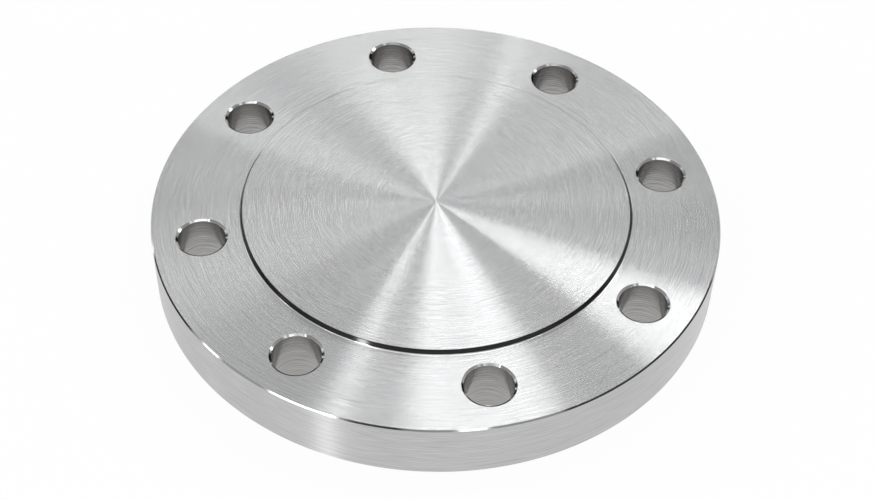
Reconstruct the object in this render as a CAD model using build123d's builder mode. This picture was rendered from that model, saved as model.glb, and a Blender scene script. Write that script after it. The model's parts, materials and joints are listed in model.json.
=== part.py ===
"""Raised-face blank flange, turned and drilled from one piece of stainless steel.

The back face lies on z = 0, centred on the origin, and the sealing face looks up along +Z.
From the back upwards the disc has a chamfered rim, a flat bolting face with a circle of
through holes, and a raised sealing face that stands on a tapered shoulder.
The bolt circle sets the size across: the raised face fits inside the bolt holes and the rim
outside them. The holes straddle the X and Y axes, as flange bolts do.
All sizes are in millimetres.
"""

from build123d import *
import os

# The bolt holes
bolt_circle_diameter = 190.5
bolt_hole_count = 8
bolt_hole_diameter = 19.0
bolt_hole_chamfer = 0.8

# The disc
flange_thickness = 25.0  # from the back face to the bolting face
rim_land = 10.25  # metal between a bolt hole and the rim
rim_chamfer = 0.6

# The raised sealing face and the shoulder that carries it
raised_face_height = 2.0
raised_face_land = 6.25  # flat bolting face between the shoulder's foot and a bolt hole
raised_face_edge_break = 0.15
shoulder_run = 1.0  # how far the shoulder slopes outwards on its way down
shoulder_root_radius = 0.6  # left by the nose of the turning tool

# Radii, heights and angles that follow from the sizes above
bolt_circle_radius = bolt_circle_diameter / 2
bolt_hole_radius = bolt_hole_diameter / 2
flange_radius = bolt_circle_radius + bolt_hole_radius + rim_land  # 230 across
shoulder_foot_radius = bolt_circle_radius - bolt_hole_radius - raised_face_land
raised_face_radius = shoulder_foot_radius - shoulder_run  # 157 across
sealing_face_height = flange_thickness + raised_face_height
first_hole_angle = 360 / bolt_hole_count / 2

with BuildPart() as flange:
    # Half of the turned section, spun about the flange's axis
    with BuildSketch(Plane.XZ):
        with BuildLine():
            Polyline(
                (0, 0),
                (flange_radius, 0),
                (flange_radius, flange_thickness),
                (shoulder_foot_radius, flange_thickness),
                (raised_face_radius, sealing_face_height),
                (0, sealing_face_height),
                close=True,
            )
        make_face()
    revolve(axis=Axis.Z)

    # The rim's two corners are chamfered, the shoulder's top edge is broken and its root rounded
    rim_edges = flange.edges().filter_by(GeomType.CIRCLE).group_by(SortBy.RADIUS)[-1]
    chamfer(rim_edges, length=rim_chamfer)
    sealing_face_edge = flange.edges().filter_by(GeomType.CIRCLE).group_by(Axis.Z)[-1]
    chamfer(sealing_face_edge, length=raised_face_edge_break)
    bolting_face = flange.faces().filter_by(GeomType.PLANE).sort_by(Axis.Z)[-2]
    shoulder_root = bolting_face.edges().group_by(SortBy.RADIUS)[0]
    fillet(shoulder_root, radius=shoulder_root_radius)

    # The bolt holes go right through, and each mouth is chamfered
    with Locations(Plane.XY.offset(flange_thickness)):
        with PolarLocations(bolt_circle_radius, bolt_hole_count, start_angle=first_hole_angle):
            Hole(radius=bolt_hole_radius)
    bolt_hole_walls = flange.faces().filter_by(GeomType.CYLINDER).group_by(SortBy.AREA)[0]
    chamfer(bolt_hole_walls.edges().filter_by(GeomType.CIRCLE), length=bolt_hole_chamfer)

flange.part.label = "flange"

os.makedirs("parts", exist_ok=True)
export_step(flange.part, "parts/flange.step")
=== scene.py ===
"""Raised-face blank flange, finished as turned and brushed stainless steel, in a plain studio.

The flange is one lathe-turned mesh with its bolt holes worked in. It has the CAD's sizes, apart
from its smallest edges, which are rounded and bevelled a little more as the photograph has them.
"""

import json
from math import atan2, cos, hypot, pi, radians, sin, tan

import bmesh
import bpy
from mathutils import Matrix, Vector


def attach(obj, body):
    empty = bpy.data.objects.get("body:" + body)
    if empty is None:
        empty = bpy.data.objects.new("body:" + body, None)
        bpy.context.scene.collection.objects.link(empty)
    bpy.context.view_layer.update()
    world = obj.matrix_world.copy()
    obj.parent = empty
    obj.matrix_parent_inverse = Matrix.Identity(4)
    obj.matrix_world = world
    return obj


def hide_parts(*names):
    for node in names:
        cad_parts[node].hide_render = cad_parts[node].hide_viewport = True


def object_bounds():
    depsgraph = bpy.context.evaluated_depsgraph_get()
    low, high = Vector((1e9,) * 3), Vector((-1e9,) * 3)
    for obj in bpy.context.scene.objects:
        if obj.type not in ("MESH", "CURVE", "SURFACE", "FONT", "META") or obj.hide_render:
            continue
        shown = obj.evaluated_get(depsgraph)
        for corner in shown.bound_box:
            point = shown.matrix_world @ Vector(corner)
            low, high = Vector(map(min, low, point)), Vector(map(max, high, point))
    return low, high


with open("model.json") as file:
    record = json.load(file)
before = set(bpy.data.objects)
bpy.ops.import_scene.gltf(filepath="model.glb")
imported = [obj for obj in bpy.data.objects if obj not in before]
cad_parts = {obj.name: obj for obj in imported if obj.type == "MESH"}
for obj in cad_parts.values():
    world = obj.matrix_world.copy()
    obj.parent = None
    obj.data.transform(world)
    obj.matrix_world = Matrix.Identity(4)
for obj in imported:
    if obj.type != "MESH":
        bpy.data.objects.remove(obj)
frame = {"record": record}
cad_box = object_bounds()

# ------------------------------------------------------------------ sizes, in metres
mounts = {mount["name"]: mount for mount in frame["record"]["mounts"]}
bolts = mounts["bolt_circle"]["dims"]
bolt_circle_radius = bolts["pcd_mm"] / 2000
bore_radius = bolts["hole_r_mm"] / 1000
bore_count = bolts["count"]
first_bore_angle = pi / bore_count

flange_radius = cad_box[1][0]
sealing_face_z = cad_box[1][2]
raised_face_height = 0.002
bolting_face_z = sealing_face_z - raised_face_height
raised_face_radius = 0.0785
shoulder_foot_radius = 0.0795
shoulder_root_radius = 0.0006
shoulder_edge_radius = 0.00024
rim_chamfer = 0.0006
mouth_run = 0.0009  # how far a bore's countersink reaches out, and how deep it is
mouth_depth = 0.0006
edge_rounding = 0.00012
axis_radius = 1e-6  # a point nearer to an axis than this lies on it

turns = 480  # faces round the flange, a multiple of the number of bores
flat_rows = 16  # rows of faces from the middle of a flat face outwards
land_rows = 12  # rows of faces across the bolting face, between two bores
mouth_rings = (0.08, 0.2, 0.36, 0.56, 0.78)  # rings of faces, as shares of the way out from a mouth
arc_steps = 4  # faces round a small rounded edge
corner_rows = arc_steps + 1  # rows of faces from the start of one rounded edge to the start of the next

# The materials' places on the mesh
SEALING, SHOULDER, ROOT, BOLTING, RIM, EDGES, BORE, BACK = range(8)


# ------------------------------------------------------------------ mesh
def rounded(corners):
    """(r, z, radius) corners as a list of (r, z) points, each inner corner an arc of its radius."""
    points = [Vector(corners[0][:2])]
    for before, here, after in zip(corners, corners[1:], corners[2:]):
        corner, radius = Vector(here[:2]), here[2]
        into = (Vector(before[:2]) - corner).normalized()
        out = (Vector(after[:2]) - corner).normalized()
        half = into.angle(out) / 2
        centre = corner + (into + out).normalized() * (radius / sin(half))
        start = corner + into * (radius / tan(half)) - centre
        end = corner + out * (radius / tan(half)) - centre
        opening = start.angle(end)
        for step in range(arc_steps + 1):
            share = opening * step / arc_steps
            points.append(centre + (start * sin(opening - share) + end * sin(share)) / sin(opening))
    points.append(Vector(corners[-1][:2]))
    return points


def spread(start, end, count):
    """Points from start to end, less the end."""
    return [Vector(start).lerp(Vector(end), k / count) for k in range(count)]


class Part:
    """A bmesh that keeps each face's finish and the axis that it was turned or drilled about."""

    def __init__(self):
        self.mesh = bmesh.new()
        self.axis = self.mesh.faces.layers.float_vector.new("turning_axis")

    def ring(self, radius, z, angles, centre=(0.0, 0.0)):
        if radius == 0:
            return [self.mesh.verts.new((centre[0], centre[1], z))]
        return [
            self.mesh.verts.new((centre[0] + radius * cos(a), centre[1] + radius * sin(a), z))
            for a in angles
        ]

    def face(self, corners, finish, centre):
        face = self.mesh.faces.new(corners)
        face.material_index = finish
        face[self.axis] = (centre[0], centre[1], 0.0)
        face.smooth = True

    def join(self, low, high, finish, centre=(0.0, 0.0), closed=True):
        """Faces between two rows of vertices, seen from outside with low on the left-hand side."""
        count = max(len(low), len(high))
        for k in range(count if closed else count - 1):
            j = (k + 1) % count
            if len(low) == 1:
                self.face((low[0], high[k], high[j]), finish, centre)
            elif len(high) == 1:
                self.face((low[k], high[0], low[j]), finish, centre)
            else:
                self.face((low[k], high[k], high[j], low[j]), finish, centre)


part = Part()
turn_angles = [2 * pi * k / turns for k in range(turns)]

# The turned section, from the middle of the sealing face out over the shoulder
section = rounded(
    [
        (0, sealing_face_z, 0),
        (raised_face_radius, sealing_face_z, shoulder_edge_radius),
        (shoulder_foot_radius, bolting_face_z, shoulder_root_radius),
        (bolt_circle_radius, bolting_face_z, 0),
    ]
)[:-1]
face_points = spread(section[0], section[1], flat_rows)
rows = [part.ring(p.x, p.y, turn_angles) for p in face_points + section[1:]]
root_start = len(rows) - 1 - arc_steps
for k, (low, high) in enumerate(zip(rows, rows[1:])):
    part.join(low, high, SEALING if k < flat_rows else SHOULDER if k < root_start else ROOT)
shoulder_foot = rows[-1]
land_inner_radius = section[-1].x

# The rim, from the top of the bolting face down to the back
section = rounded(
    [
        (bolt_circle_radius, bolting_face_z, 0),
        (flange_radius - rim_chamfer, bolting_face_z, edge_rounding),
        (flange_radius, bolting_face_z - rim_chamfer, edge_rounding),
        (flange_radius, rim_chamfer, edge_rounding),
        (flange_radius - rim_chamfer, 0, edge_rounding),
        (bolt_circle_radius, 0, 0),
    ]
)[1:-1]
rows = [part.ring(p.x, p.y, turn_angles) for p in section]
for k, (low, high) in enumerate(zip(rows, rows[1:])):
    part.join(low, high, RIM if k == 2 * corner_rows - 1 else EDGES)
rim_top, rim_foot = rows[0], rows[-1]

# The back, from its middle out as far as the shoulder's foot on the other side
rows = [part.ring(p.x, 0.0, turn_angles) for p in spread((0, 0), (land_inner_radius, 0), flat_rows)]
rows.append(part.ring(land_inner_radius, 0.0, turn_angles))
for low, high in zip(rows, rows[1:]):
    part.join(high, low, BACK)
back_land = rows[-1]

# The bores' section, from the top mouth down to the bottom one
bore_section = rounded(
    [
        (bore_radius + 2 * mouth_run, bolting_face_z, 0),
        (bore_radius + mouth_run, bolting_face_z, edge_rounding),
        (bore_radius, bolting_face_z - mouth_depth, edge_rounding),
        (bore_radius, mouth_depth, edge_rounding),
        (bore_radius + mouth_run, 0, edge_rounding),
        (bore_radius + 2 * mouth_run, 0, 0),
    ]
)[1:-1]

sector = turns // bore_count


def land_arcs(inner, outer, k):
    """The vertices on the inner and outer arcs of one bore's share of a land."""
    arc = [(sector * k + i) % turns for i in range(sector + 1)]
    return [inner[i] for i in arc], [outer[i] for i in arc]


def spokes(inner, outer):
    """Rows of vertices out across a land, on the lines half way between the bores."""
    made = []
    for k in range(bore_count):
        start, end = inner[sector * k], outer[sector * k]
        points = [start.co.lerp(end.co, i / land_rows) for i in range(1, land_rows)]
        made.append([start] + [part.mesh.verts.new(p) for p in points] + [end])
    return made


def holed_land(z, inner, outer, finish, up):
    """Fills a land round its bores with rings of quads that grow from each mouth to its share's edge.

    Gives back each mouth's vertices, their bearings from its middle, and that middle.
    """
    mouth_radius = bore_section[0].x
    lines = spokes(inner, outer)
    mouths = []
    for k in range(bore_count):
        near, far = land_arcs(inner, outer, k)
        left, right = lines[k], lines[(k + 1) % bore_count]
        edge = near[:-1] + right[:-1] + far[:0:-1] + left[:0:-1]
        angle = first_bore_angle + 2 * pi * k / bore_count
        centre = (bolt_circle_radius * cos(angle), bolt_circle_radius * sin(angle))
        bearings = [atan2(v.co.y - centre[1], v.co.x - centre[0]) for v in edge]
        mouth = part.ring(mouth_radius, z, bearings, centre)
        rings = [mouth]
        for step in mouth_rings:
            rings.append([part.mesh.verts.new(m.co.lerp(v.co, step)) for m, v in zip(mouth, edge)])
        rings.append(edge)
        for low, high in zip(rings, rings[1:]):
            part.join(*((high, low) if up else (low, high)), finish)
        mouths.append((mouth, bearings, centre))
    return mouths


top_mouths = holed_land(bolting_face_z, shoulder_foot, rim_top, BOLTING, True)
bottom_mouths = holed_land(0.0, back_land, rim_foot, BACK, False)

for (top, bearings, centre), (bottom, _, _) in zip(top_mouths, bottom_mouths):
    rows = [top] + [part.ring(p.x, p.y, bearings, centre) for p in bore_section[1:-1]] + [bottom]
    for k, (low, high) in enumerate(zip(rows, rows[1:])):
        part.join(low, high, BORE if k == 2 * corner_rows - 1 else EDGES, centre)

bmesh.ops.recalc_face_normals(part.mesh, faces=part.mesh.faces)
data = bpy.data.meshes.new("turned_blank")
part.mesh.to_mesh(data)
part.mesh.free()

# Vertex normals weighted by face area, so that flats stay flat up to their small rounded edges
totals = [Vector() for _ in data.vertices]
for face in data.polygons:
    for index in face.vertices:
        totals[index] += face.normal * face.area
data.normals_split_custom_set_from_vertices([total.normalized() for total in totals])

# A polar UV map: U runs round the axis that a face was turned about, V runs along the section. Each
# stretch of the section has its own strip of the map.
shoulder_strip = 0.005
shoulder_strip_start = 0.0005
chamfers_strip = 0.003
mouths_strip = 0.004
strip_gap = 0.0015
map_edge = 0.01  # the share of the map left clear at its left and right, and half of it below and above
bore_gap = 0.02  # the share of a bore's part of the map left clear on each side
strips = {}
strip_end = 0.0
for place, length in (
    (SEALING, raised_face_radius),
    (SHOULDER, shoulder_strip),
    (BOLTING, flange_radius - raised_face_radius),
    ("rim", bolting_face_z + chamfers_strip),
    (BACK, flange_radius),
    ("bore", bolting_face_z + mouths_strip),
):
    strips[place] = strip_end
    strip_end += length + strip_gap


def strip_place(finish, drilled, r, z):
    """How far along the strips of the UV map a point of the section lies."""
    top = z > bolting_face_z / 2
    if drilled:
        out = r - bore_radius
        return strips["bore"] + bolting_face_z - z + (mouth_run - out if top else mouth_run + out)
    if finish == SEALING:
        return strips[SEALING] + r
    if finish == BOLTING:
        return strips[BOLTING] + r - raised_face_radius
    if finish == BACK:
        return strips[BACK] + r
    if finish in (SHOULDER, ROOT):
        return strips[SHOULDER] + shoulder_strip_start + r - raised_face_radius + sealing_face_z - z
    inwards = flange_radius - r
    return strips["rim"] + bolting_face_z - z + (rim_chamfer - inwards if top else rim_chamfer + inwards)


axes = data.attributes["turning_axis"].data
uv_layer = data.uv_layers.new(name="OFBake")
for face in data.polygons:
    axis = axes[face.index].vector
    drilled = axis.length > 0
    middle = face.center - Vector((axis.x, axis.y, 0))
    middle_angle = atan2(middle.y, middle.x) % (2 * pi)
    for loop in face.loop_indices:
        spot = data.vertices[data.loops[loop].vertex_index].co - Vector((axis.x, axis.y, 0))
        r = hypot(spot.x, spot.y)
        angle = atan2(spot.y, spot.x) if r > axis_radius else middle_angle
        angle = middle_angle + (angle - middle_angle + pi) % (2 * pi) - pi
        u = angle / (2 * pi)
        if drilled:
            bore = round((atan2(axis.y, axis.x) - first_bore_angle) / (2 * pi) * bore_count)
            u = (bore % bore_count + bore_gap + (1 - 2 * bore_gap) * u) / bore_count
        v = strip_place(face.material_index, drilled, r, spot.z) / strip_end
        uv_layer.data[loop].uv = (map_edge + (1 - 2 * map_edge) * u, map_edge / 2 + (1 - map_edge) * v)

flange = bpy.data.objects.new("turned_flange", data)
bpy.context.collection.objects.link(flange)


# ------------------------------------------------------------------ materials
marks_wander = 12.0  # how far noise pushes the lighter and darker marks along, in radians


class Nodes:
    """Short calls that add and link nodes in one material's tree."""

    def __init__(self, tree):
        self.tree = tree

    def add(self, kind, **settings):
        node = self.tree.nodes.new(kind)
        for name, value in settings.items():
            setattr(node, name, value)
        return node

    def feed(self, socket, value):
        if isinstance(value, bpy.types.NodeSocket):
            self.tree.links.new(value, socket)
        elif value is not None:
            socket.default_value = value

    def maths(self, operation, a, b=None, c=None):
        node = self.add("ShaderNodeMath", operation=operation)
        for socket, value in zip(node.inputs, (a, b, c)):
            self.feed(socket, value)
        return node.outputs[0]

    def vector(self, operation, a, b=None, scale=None):
        node = self.add("ShaderNodeVectorMath", operation=operation)
        self.feed(node.inputs[0], a)
        self.feed(node.inputs[1], b)
        if scale is not None:
            self.feed(node.inputs["Scale"], scale)
        return node.outputs["Value" if operation in ("LENGTH", "DOT_PRODUCT") else "Vector"]

    def noise(self, vector, detail):
        node = self.add("ShaderNodeTexNoise")
        self.feed(node.inputs["Vector"], vector)
        node.inputs["Scale"].default_value = 1.0
        node.inputs["Detail"].default_value = detail
        return node.outputs["Fac"]

    def spread(self, value, low, high):
        """Noise, which lies mostly between a quarter and three quarters, spread from low to high."""
        node = self.add("ShaderNodeMapRange", clamp=False)
        self.feed(node.inputs["Value"], value)
        node.inputs["From Min"].default_value = 0.25
        node.inputs["From Max"].default_value = 0.75
        node.inputs["To Min"].default_value = low
        node.inputs["To Max"].default_value = high
        return node.outputs["Result"]


def turned_steel(
    name,
    tint,
    roughness,
    anisotropy,
    pitch=0.0004,
    slope=0.0,
    lean=0.0,
    across="radius",
    marks=0.00068,
    tone=0.09,
    scratches=0.006,
    reach=1.0,
):
    """Steel with the marks of a tool that went round the face's own axis.

    tint is the metal's colour, darker in some finishes as painted shade, and roughness is the metal's
    own. pitch and slope are the spacing and steepness of fine grooves, and lean is a slope that the
    surface has all over. across is what changes from one mark to the next: the radius on a flat face,
    the height on a wall. Lighter and darker marks lie about as far apart as marks says, and tone is
    how much they differ in lightness. scratches is how much the slope changes, and reach how far
    round the axis the marks go. Lengths are in metres.
    """
    material = bpy.data.materials.new(name)
    material.use_nodes = True
    tree = material.node_tree
    tree.nodes.clear()
    n = Nodes(tree)

    place = n.add("ShaderNodeTexCoord").outputs["Object"]
    axis = n.add("ShaderNodeAttribute", attribute_name="turning_axis").outputs["Vector"]
    flat_arm = n.vector("MULTIPLY", n.vector("SUBTRACT", place, axis), (1, 1, 0))
    outwards = n.vector("NORMALIZE", flat_arm)
    round_axis = n.vector("CROSS_PRODUCT", (0, 0, 1), outwards)
    height = n.add("ShaderNodeSeparateXYZ")
    n.feed(height.inputs[0], place)
    along = n.vector("LENGTH", flat_arm) if across == "radius" else height.outputs["Z"]

    def streaks(per_metre, changes, detail=2.0):
        """Noise in rings round the axis: so many a metre across them, changing more slowly along them."""
        lift = n.add("ShaderNodeCombineXYZ")
        n.feed(lift.inputs["Z"], n.maths("MULTIPLY", along, per_metre))
        turn = n.vector("SCALE", outwards, scale=changes / reach)
        return n.noise(n.vector("ADD", turn, lift.outputs[0]), detail)

    fine = streaks(3000, 12.0, 1.0)
    wander = streaks(1100, 6.0, 0.0)
    medium = streaks(900, 4.0)
    broad = streaks(120, 2.0)

    shader = n.add("ShaderNodeBsdfPrincipled")
    shader.inputs["Metallic"].default_value = 1.0
    shader.inputs["Anisotropic"].default_value = anisotropy
    shader.inputs["Anisotropic Rotation"].default_value = 0.25  # highlights stretch across the marks
    n.feed(shader.inputs["Tangent"], round_axis)

    # Rings of light and dark whose spacing wanders, with a little broad and fine noise added
    phase = n.maths("MULTIPLY_ADD", along, 2 * pi / marks, n.maths("MULTIPLY", wander, marks_wander))
    drift = n.spread(broad, 1.0 - tone / 12, 1.0 + tone / 12)
    change = n.maths("MULTIPLY_ADD", n.maths("SINE", phase), tone, drift)
    change = n.maths("ADD", change, n.spread(fine, -tone / 4, tone / 4))
    n.feed(shader.inputs["Base Color"], n.vector("SCALE", tint, scale=change))
    n.feed(shader.inputs["Roughness"], n.spread(medium, roughness * 0.98, roughness * 1.02))

    tilt = n.spread(medium, lean - scratches, lean + scratches)
    if slope:
        wave = n.maths("SINE", n.maths("MULTIPLY", along, 2 * pi / pitch))
        tilt = n.maths("MULTIPLY_ADD", wave, slope, tilt)
    if across == "radius":
        push = n.vector("SCALE", outwards, scale=tilt)
    else:
        lift = n.add("ShaderNodeCombineXYZ")
        n.feed(lift.inputs["Z"], tilt)
        push = lift.outputs[0]
    normal = n.add("ShaderNodeNewGeometry").outputs["Normal"]
    n.feed(shader.inputs["Normal"], n.vector("NORMALIZE", n.vector("ADD", normal, push)))

    n.feed(n.add("ShaderNodeOutputMaterial").inputs["Surface"], shader.outputs[0])
    return material


def grey(lightness):
    return (lightness, lightness, lightness)


steel = (0.66, 0.665, 0.67)
# The bores' steel is darkened: painted shade, for the shadow inside the bores.
bore_steel_painted_shade = (0.35, 0.345, 0.34)
face_look = {"roughness": 0.22, "anisotropy": 1.0, "slope": 0.3, "lean": 0.12}
shoulder_look = {"roughness": 0.14, "anisotropy": 0.6}
finishes = {
    SEALING: turned_steel("turned_face", steel, pitch=0.0005, **face_look),
    # The shoulder's steel is painted near black: painted shade, for the dark band round the raised face's
    # foot.
    SHOULDER: turned_steel("shoulder_painted_shade", grey(0.035), **shoulder_look),
    ROOT: turned_steel("bright_root", grey(0.7), **shoulder_look),
    BOLTING: turned_steel("brushed_face", steel, pitch=0.0003, **face_look),
    RIM: turned_steel("brushed_rim", grey(0.56), 0.3, 1.0, slope=0.1, across="height", tone=0.14),
    # The chamfers and countersinks get darker steel than the faces: painted shade, so that they read as
    # dark lines.
    EDGES: turned_steel("machined_edges_painted_shade", grey(0.45), 0.12, 0.5, tone=0.02),
    BORE: turned_steel(
        "drilled_bore_painted_shade", bore_steel_painted_shade, 0.22, 0.7, slope=0.05, across="height", tone=0.2, reach=8.0
    ),
    BACK: turned_steel("turned_back", steel, 0.27, 1.0, pitch=0.0009, slope=0.12, lean=0.04),
}
for finish in sorted(finishes):
    data.materials.append(finishes[finish])

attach(flange, "root")
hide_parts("flange")

# ------------------------------------------------------------------ camera
view_azimuth = radians(9.66)
view_elevation = radians(46.33)
camera_roll = radians(-1.34)
view_distance = 0.6718
aim_right = 0.0005  # how far the aim point lies right of and below the bolting face's middle
aim_down = 0.0182

right = Vector((cos(view_azimuth), sin(view_azimuth), 0))
back = Vector(
    (
        sin(view_azimuth) * cos(view_elevation),
        -cos(view_azimuth) * cos(view_elevation),
        sin(view_elevation),
    )
)
up = back.cross(right)
rolled_right = cos(camera_roll) * right - sin(camera_roll) * up
rolled_up = back.cross(rolled_right)
aim = Vector((0, 0, bolting_face_z)) + aim_right * rolled_right - aim_down * rolled_up
camera_data = bpy.data.cameras.new("camera")
camera_data.sensor_width = 36.0
camera_data.lens = 68.05
camera_data.clip_start = 0.05
camera_data.clip_end = 100.0
camera = bpy.data.objects.new("camera", camera_data)
turn = Matrix((rolled_right, rolled_up, back)).transposed().to_4x4()
camera.matrix_world = Matrix.Translation(aim + view_distance * back) @ turn
bpy.context.collection.objects.link(camera)
bpy.context.scene.camera = camera


# ------------------------------------------------------------------ studio
lamp_distance = 2.5
card_distance = 2.6
sky_level = 0.832  # how bright the world is in the middle, between its top and its bottom
sky_change = (-0.008, 0.049, -0.418)  # how much brighter it gets towards x, y and z
floor_half = 6.0
floor_z = -0.0002  # just clear of the flange's back
floor_white = 0.94  # the share of plain white in the floor, where the camera or a reflection sees it
white = (1.0, 1.0, 1.0, 1.0)
near_black = (0.01, 0.01, 0.01, 1.0)


def facing(azimuth, elevation, roll, distance):
    """The place of a flat thing that faces the flange, by angles in degrees.

    azimuth counts clockwise, seen from above, from straight behind the flange as the camera sees
    it. roll turns the thing about the line to the flange.
    """
    a = radians(azimuth) - view_azimuth
    e = radians(elevation)
    away = Vector((sin(a) * cos(e), cos(a) * cos(e), sin(e)))
    level = Vector((cos(a), -sin(a), 0))
    side = cos(radians(roll)) * level + sin(radians(roll)) * away.cross(level)
    basis = Matrix((side, away.cross(side), away)).transposed().to_4x4()
    return Matrix.Translation(away * distance) @ basis


def rectangle(width, height):
    """The corners of a rectangle round the origin."""
    x, y = width / 2, height / 2
    return [(-x, -y, 0), (x, -y, 0), (x, y, 0), (-x, y, 0)]


def softbox(name, azimuth, elevation, width, height, radiance, roll=0.0):
    """A rectangular lamp that faces the flange and is as bright as radiance says, whatever its size."""
    lamp_data = bpy.data.lights.new(name, "AREA")
    lamp_data.shape = "RECTANGLE"
    lamp_data.size = width
    lamp_data.size_y = height
    lamp_data.energy = radiance * pi * width * height
    lamp = bpy.data.objects.new(name, lamp_data)
    lamp.matrix_world = facing(azimuth, elevation, roll, lamp_distance)
    lamp.visible_camera = False
    bpy.context.collection.objects.link(lamp)


softbox("overhead_strip", 8, 59.5, 0.13, 1.5, 1.3, roll=19)
softbox("overhead_box", 1, 70.5, 0.2, 0.9, 3.4, roll=-12.5)
softbox("high_left_strip", 329, 71, 1.05, 0.1, 3.0, roll=33)
softbox("high_right_strip", 68, 74.5, 3.0, 0.35, 1.16, roll=3)
softbox("right_box", 62, 44.5, 0.31, 1.04, 6.1, roll=-4.5)
softbox("front_right_box", 120, 46, 0.14, 0.22, 10.8, roll=26)
softbox("front_box", 165, 37, 0.35, 0.25, 4.0, roll=-4)
softbox("mouths_box", 182, 68.5, 1.5, 0.55, 2.0)
softbox("front_left_strip", 217.5, 43, 0.06, 2.5, 9.5, roll=12.5)
softbox("front_left_box", 227.5, 32, 0.82, 0.28, 4.0, roll=16)
softbox("low_left_box", 214, 5, 0.2, 0.4, 25.0)
softbox("left_edge_box", 261, 21, 0.28, 0.25, 4.0, roll=17)
softbox("left_box", 295.5, 28.5, 0.35, 2.35, 0.63, roll=11)
softbox("low_back_strip", 318.5, 17, 0.12, 3.0, 2.4, roll=52.5)
softbox("low_back_box", 10, 42, 0.72, 0.09, 3.1)
softbox("back_ray_strip", 6.1, 22, 0.06, 0.7, 1.6, roll=-5)


card_black = bpy.data.materials.new("card_black")
card_black.use_nodes = True
card_shader = card_black.node_tree.nodes["Principled BSDF"]
card_shader.inputs["Base Color"].default_value = near_black
card_shader.inputs["Specular IOR Level"].default_value = 0.0


def black_card(name, azimuth, elevation, width, height, roll=0.0):
    """A black card beyond the lamps, for the flange's edges to reflect."""
    mesh = bpy.data.meshes.new(name)
    mesh.from_pydata(rectangle(width, height), [], [(0, 1, 2, 3)])
    mesh.materials.append(card_black)
    card = bpy.data.objects.new(name, mesh)
    card.matrix_world = facing(azimuth, elevation, roll, card_distance)
    card.visible_camera = False
    card.visible_shadow = False
    bpy.context.collection.objects.link(card)


black_card("front_card", 200, 36.5, 0.74, 0.34, roll=6)
black_card("right_card", 97, 20.5, 3.5, 0.36, roll=-25)
black_card("left_card", 283.5, 9.5, 1.4, 0.36, roll=29)
black_card("back_right_card", 41, 14, 1.2, 1.2)
black_card("back_left_card", 317, 14, 1.3, 1.2)

world = bpy.data.worlds.new("studio")
world.use_nodes = True
n = Nodes(world.node_tree)
background = world.node_tree.nodes["Background"]
fall = n.vector("DOT_PRODUCT", n.add("ShaderNodeTexCoord").outputs["Generated"], sky_change)
n.feed(background.inputs["Strength"], n.maths("ADD", fall, sky_level))
background.inputs["Color"].default_value = white
bpy.context.scene.world = world

# A matte floor that looks nearly plain white to the camera, straight or in a reflection
floor_mesh = bpy.data.meshes.new("floor")
floor_mesh.from_pydata(rectangle(2 * floor_half, 2 * floor_half), [], [(0, 1, 2, 3)])
floor = bpy.data.objects.new("floor", floor_mesh)
floor.location.z = floor_z
bpy.context.collection.objects.link(floor)
floor_material = bpy.data.materials.new("white_floor")
floor_material.use_nodes = True
floor_material.node_tree.nodes.clear()
n = Nodes(floor_material.node_tree)
path = n.add("ShaderNodeLightPath").outputs
mirrored = n.maths("MAXIMUM", path["Is Glossy Ray"], path["Is Transmission Ray"])
seen = n.maths("MAXIMUM", path["Is Camera Ray"], mirrored)
matte = n.add("ShaderNodeBsdfDiffuse")
matte.inputs["Color"].default_value = white
plain = n.add("ShaderNodeEmission")
plain.inputs["Strength"].default_value = 1.0
mix = n.add("ShaderNodeMixShader")
n.feed(mix.inputs[0], n.maths("MULTIPLY", seen, floor_white))
n.feed(mix.inputs[1], matte.outputs[0])
n.feed(mix.inputs[2], plain.outputs[0])
n.feed(n.add("ShaderNodeOutputMaterial").inputs["Surface"], mix.outputs[0])
floor_mesh.materials.append(floor_material)

bpy.context.scene.view_settings.view_transform = "Standard"
